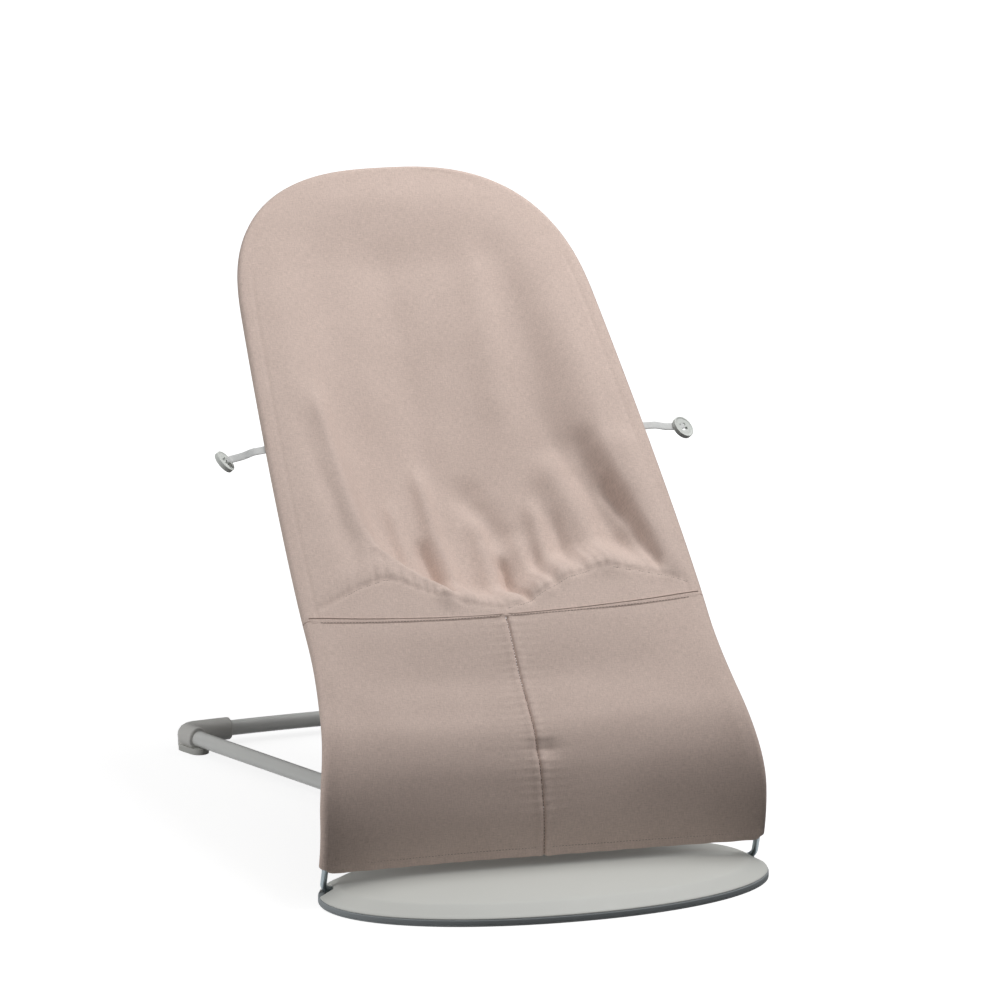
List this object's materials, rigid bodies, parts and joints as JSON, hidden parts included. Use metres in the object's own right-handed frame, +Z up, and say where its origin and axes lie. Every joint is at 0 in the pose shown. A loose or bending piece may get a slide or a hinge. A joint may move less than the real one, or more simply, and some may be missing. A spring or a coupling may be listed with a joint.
{
  "type": "baby bouncer seat",
  "caption": "Low reclining baby seat: fabric slung on a spring-wire frame, hinged in an oval front plate and propped from a V-shaped tube base.",
  "frame": {"origin": "on the floor, under the middle of the oval front plate", "axes": "+X across, to the right as seen from the front; -Y to the front; +Z up"},
  "size_m": [0.4323, 0.6564, 0.5119],
  "materials": {
    "plate_shell": "pale grey moulded plastic with a fine texture",
    "underside": "mid grey moulded plastic",
    "rubber": "blue-grey soft rubber",
    "moulding": "grey moulded plastic",
    "painted_tube": "pale grey powder coat",
    "spring_steel": "zinc-plated spring steel wire",
    "screw_steel": "plated steel",
    "seat_cloth": "dusty pink woven cotton",
    "seam_trim": "folded and stitched cotton seam",
    "webbing": "pale grey elastic webbing",
    "toggle_plastic": "pale grey-green moulded plastic"
  },
  "bodies": {
    "base": {"base_pan": "underside", "rim_rubber": "rubber", "plate_shell": "plate_shell", "tube_socket": "moulding", "screw_post_1": "underside", "pan_screw_1": "screw_steel", "screw_post_2": "underside", "pan_screw_2": "screw_steel", "screw_post_3": "underside", "pan_screw_3": "screw_steel", "screw_post_4": "underside", "pan_screw_4": "screw_steel", "cross_tube": "painted_tube", "pivot_bush_left": "moulding", "floor_tube_left": "painted_tube", "elbow_left": "moulding", "elbow_foot_left": "rubber", "prop_bracket_left": "moulding", "prop_clip_left": "underside", "pivot_bush_right": "moulding", "floor_tube_right": "painted_tube", "elbow_right": "moulding", "elbow_foot_right": "rubber", "prop_bracket_right": "moulding", "prop_clip_right": "underside"},
    "prop": {"head_bar": "spring_steel", "prop_leg_left": "painted_tube", "head_block_left": "moulding", "head_roller_left": "underside", "prop_leg_right": "painted_tube", "head_block_right": "moulding", "head_roller_right": "underside"},
    "seat": {"cross_wire_lower": "spring_steel", "cross_wire_upper": "spring_steel", "side_wire_left": "spring_steel", "splice_sleeve_left": "underside", "recline_rack_left": "moulding", "lower_panel_left": "seat_cloth", "side_wire_right": "spring_steel", "splice_sleeve_right": "underside", "recline_rack_right": "moulding", "lower_panel_right": "seat_cloth", "seam_band": "seam_trim", "seat_pouch": "seat_cloth", "back_lower": "seat_cloth"},
    "back": {"upper_hoop": "spring_steel", "back_upper": "seat_cloth", "hood_pocket": "seat_cloth"},
    "strap_left": {"toggle_strap_left": "webbing", "toggle_disc_left": "toggle_plastic"},
    "strap_right": {"toggle_strap_right": "webbing", "toggle_disc_right": "toggle_plastic"}
  },
  "joints": [
    {"name": "seat_recline", "type": "hinge", "parent": "base", "child": "seat", "pos_m": [0, 0.015, 0.009], "axis": [1, 0, 0], "range_deg": [-38.8, 0]},
    {"name": "prop_fold", "type": "hinge", "parent": "base", "child": "prop", "pos_m": [0, 0.215, 0.013], "axis": [1, 0, 0], "range_deg": [-68.3, 0]},
    {"name": "bounce", "type": "hinge", "parent": "seat", "child": "back", "pos_m": [0, 0.37022, 0.37401], "axis": [1, 0, 0], "range_deg": [-4, 3], "stiffness_Nm_per_rad": 80, "springref_deg": 0.34},
    {"name": "strap_swing_left", "type": "hinge", "parent": "seat", "child": "strap_left", "pos_m": [-0.1724, 0.29467, 0.3215], "axis": [0, 0.8211, 0.5707], "range_deg": [-50, 60], "stiffness_Nm_per_rad": 0.02},
    {"name": "strap_swing_right", "type": "hinge", "parent": "seat", "child": "strap_right", "pos_m": [0.1724, 0.29467, 0.3215], "axis": [0, 0.8211, 0.5707], "range_deg": [-60, 50], "stiffness_Nm_per_rad": 0.02}
  ],
  "couplings": [
    {"joint": "prop_fold", "follows": "seat_recline", "ratio": 1.757}
  ]
}
